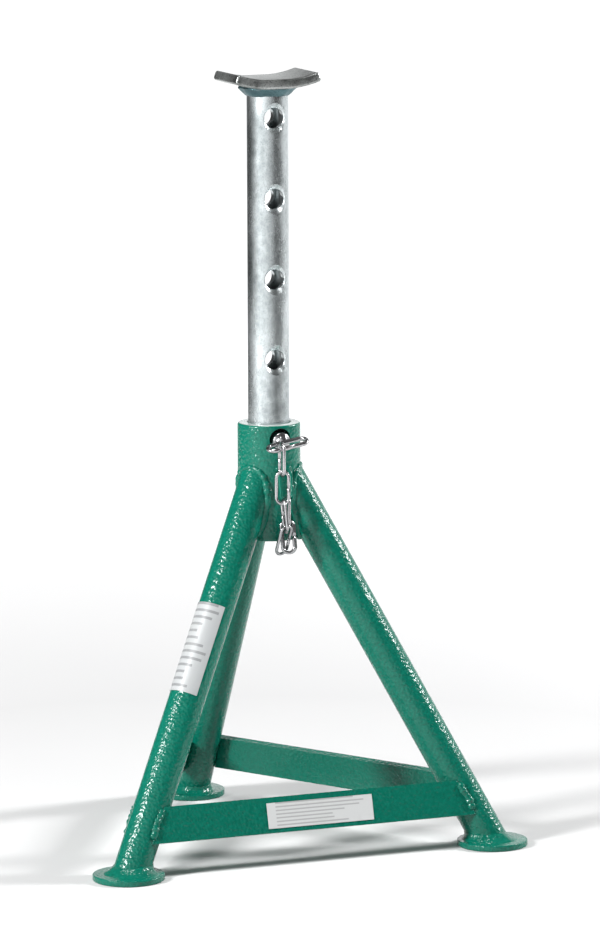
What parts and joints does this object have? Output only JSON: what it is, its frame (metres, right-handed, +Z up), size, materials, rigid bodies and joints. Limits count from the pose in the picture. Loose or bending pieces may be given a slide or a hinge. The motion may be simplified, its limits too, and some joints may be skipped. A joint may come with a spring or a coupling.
{
  "type": "pin-type axle stand",
  "caption": "Tripod axle stand: splayed tube legs with round feet and flat braces, a drilled post held by a chained cross pin, and a curved saddle.",
  "frame": {"origin": "on the floor, at the middle of the bounding box", "axes": "+Z up along the post; the locking pin pulls out towards -Y; the rear leg points to +Y"},
  "size_m": [0.344, 0.305, 0.58],
  "materials": {
    "green_paint": "gloss, hammered",
    "galvanised_steel": "galvanised",
    "dark_zinc": "dull zinc",
    "bright_zinc": "bright zinc",
    "label": "satin sticker"
  },
  "bodies": {
    "frame": {"sleeve": "green_paint", "leg_left": "green_paint", "leg_right": "green_paint", "leg_rear": "green_paint", "leg_weld_left": "green_paint", "leg_weld_right": "green_paint", "leg_weld_rear": "green_paint", "foot_left": "green_paint", "foot_right": "green_paint", "foot_rear": "green_paint", "foot_weld_left": "green_paint", "foot_weld_right": "green_paint", "foot_weld_rear": "green_paint", "brace_front": "green_paint", "brace_right": "green_paint", "brace_left": "green_paint", "brace_weld_front_a": "green_paint", "brace_weld_front_b": "green_paint", "brace_weld_right_a": "green_paint", "brace_weld_right_b": "green_paint", "brace_weld_left_a": "green_paint", "brace_weld_left_b": "green_paint", "chain_eye": "green_paint", "leg_label": "label", "brace_label": "label", "chain_link_1": "bright_zinc", "chain_link_2": "bright_zinc", "chain_link_3": "bright_zinc", "chain_link_4": "bright_zinc", "chain_link_5": "bright_zinc", "chain_link_6": "bright_zinc", "chain_link_7": "bright_zinc"},
    "post": {"post": "galvanised_steel", "saddle": "dark_zinc", "saddle_weld": "galvanised_steel"},
    "pin": {"locking_pin": "bright_zinc", "pin_handle": "bright_zinc", "handle_weld": "bright_zinc"}
  },
  "joints": [
    {"name": "post_slide", "type": "slide", "parent": "frame", "child": "post", "axis": [0, 0, 1], "range_m": [-0.24, 0]},
    {"name": "pin_slide", "type": "slide", "parent": "frame", "child": "pin", "axis": [0, -1, 0], "range_m": [0, 0.06], "deforming": ["chain_link_1", "chain_link_2", "chain_link_3", "chain_link_4", "chain_link_5", "chain_link_6", "chain_link_7"]}
  ]
}
